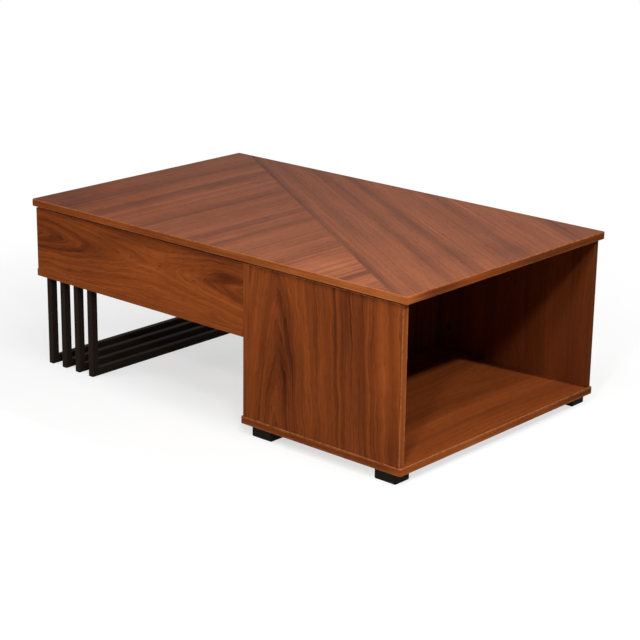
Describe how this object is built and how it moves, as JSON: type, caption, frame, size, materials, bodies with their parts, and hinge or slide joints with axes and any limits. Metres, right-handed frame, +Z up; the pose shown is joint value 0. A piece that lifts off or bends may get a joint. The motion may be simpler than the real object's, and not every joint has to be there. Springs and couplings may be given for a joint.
{
  "type": "lift top coffee table",
  "caption": "Rectangular walnut-look coffee table: the whole top lifts up and forward on parallel arms over a storage box, with an open cabinet at one end and a steel tube leg at the other.",
  "frame": {"origin": "on the floor under the middle of the closed top", "axes": "+X along the length towards the open end of the cabinet, -Y towards the front, where the user sits and the top comes forward, +Z up"},
  "size_m": [1.2, 0.74, 0.432],
  "materials": {
    "top_veneer": "satin walnut-look veneer, two sheets meeting on a diagonal",
    "panel_laminate": "satin walnut-look laminate with straight and cathedral grain",
    "edge_band": "satin orange-brown edge band with faint grain",
    "board_core": "board faced underneath with balancing laminate",
    "leg_paint": "satin black powder coat",
    "foot_plastic": "matte black moulded plastic",
    "lift_steel": "dark coated stamped steel",
    "spring_steel": "oiled spring wire",
    "zinc_plate": "bright zinc plate",
    "washer_nylon": "natural nylon",
    "dowel_wood": "raw beech",
    "bumper_rubber": "dark soft rubber"
  },
  "bodies": {
    "base": {"front_apron": "panel_laminate", "rear_apron": "panel_laminate", "end_apron": "panel_laminate", "storage_floor": "panel_laminate", "partition": "panel_laminate", "cabinet_front": "panel_laminate", "cabinet_back": "panel_laminate", "cabinet_floor": "panel_laminate", "front_apron_band": "edge_band", "rear_apron_band": "edge_band", "end_apron_band": "edge_band", "storage_floor_band": "edge_band", "partition_band": "edge_band", "cabinet_front_band": "edge_band", "cabinet_back_band": "edge_band", "cabinet_floor_band": "edge_band", "foot_front_left": "foot_plastic", "foot_front_right": "foot_plastic", "foot_rear_left": "foot_plastic", "foot_rear_right": "foot_plastic", "foot_screws": "zinc_plate", "leg_front_posts": "leg_paint", "leg_rear_posts": "leg_paint", "leg_floor_bars": "leg_paint", "leg_front_plate": "leg_paint", "leg_rear_plate": "leg_paint", "leg_screws": "zinc_plate", "left_base_bracket": "lift_steel", "right_base_bracket": "lift_steel", "left_spring": "spring_steel", "right_spring": "spring_steel", "spring_anchor_studs": "zinc_plate", "stop_pins": "zinc_plate", "base_pivot_rivets": "zinc_plate", "base_washers": "washer_nylon", "base_bracket_screws": "zinc_plate", "carcass_screws": "zinc_plate", "cam_locks": "zinc_plate", "cam_bolts": "zinc_plate", "dowels": "dowel_wood", "bumpers": "bumper_rubber"},
    "left_rear_arm": {"left_rear_arm": "lift_steel", "left_spring_stud": "zinc_plate"},
    "left_front_arm": {"left_front_arm": "lift_steel"},
    "right_rear_arm": {"right_rear_arm": "lift_steel", "right_spring_stud": "zinc_plate"},
    "right_front_arm": {"right_front_arm": "lift_steel"},
    "top": {"top_core": "board_core", "top_veneer_front": "top_veneer", "top_veneer_rear": "top_veneer", "top_edge_band": "edge_band", "left_top_bracket": "lift_steel", "right_top_bracket": "lift_steel", "top_pivot_rivets": "zinc_plate", "top_washers": "washer_nylon", "top_bracket_screws": "zinc_plate"}
  },
  "joints": [
    {"name": "top_lift", "type": "hinge", "parent": "base", "child": "left_rear_arm", "pos_m": [-0.5665, -0.06, 0.299], "axis": [1, 0, 0], "range_deg": [0, 115], "deforming": ["left_spring", "right_spring"]},
    {"name": "left_front_swing", "type": "hinge", "parent": "base", "child": "left_front_arm", "pos_m": [-0.5665, -0.11543, 0.32196], "axis": [1, 0, 0], "range_deg": [0, 115]},
    {"name": "right_rear_swing", "type": "hinge", "parent": "base", "child": "right_rear_arm", "pos_m": [0.1175, -0.06, 0.299], "axis": [1, 0, 0], "range_deg": [0, 115]},
    {"name": "right_front_swing", "type": "hinge", "parent": "base", "child": "right_front_arm", "pos_m": [0.1175, -0.11543, 0.32196], "axis": [1, 0, 0], "range_deg": [0, 115]},
    {"name": "top_level", "type": "hinge", "parent": "left_rear_arm", "child": "top", "pos_m": [-0.5665, 0.1862, 0.34241], "axis": [1, 0, 0], "range_deg": [-115, 0]}
  ],
  "couplings": [
    {"joint": "left_front_swing", "follows": "top_lift", "ratio": 1},
    {"joint": "right_rear_swing", "follows": "top_lift", "ratio": 1},
    {"joint": "right_front_swing", "follows": "top_lift", "ratio": 1},
    {"joint": "top_level", "follows": "top_lift", "ratio": -1}
  ]
}
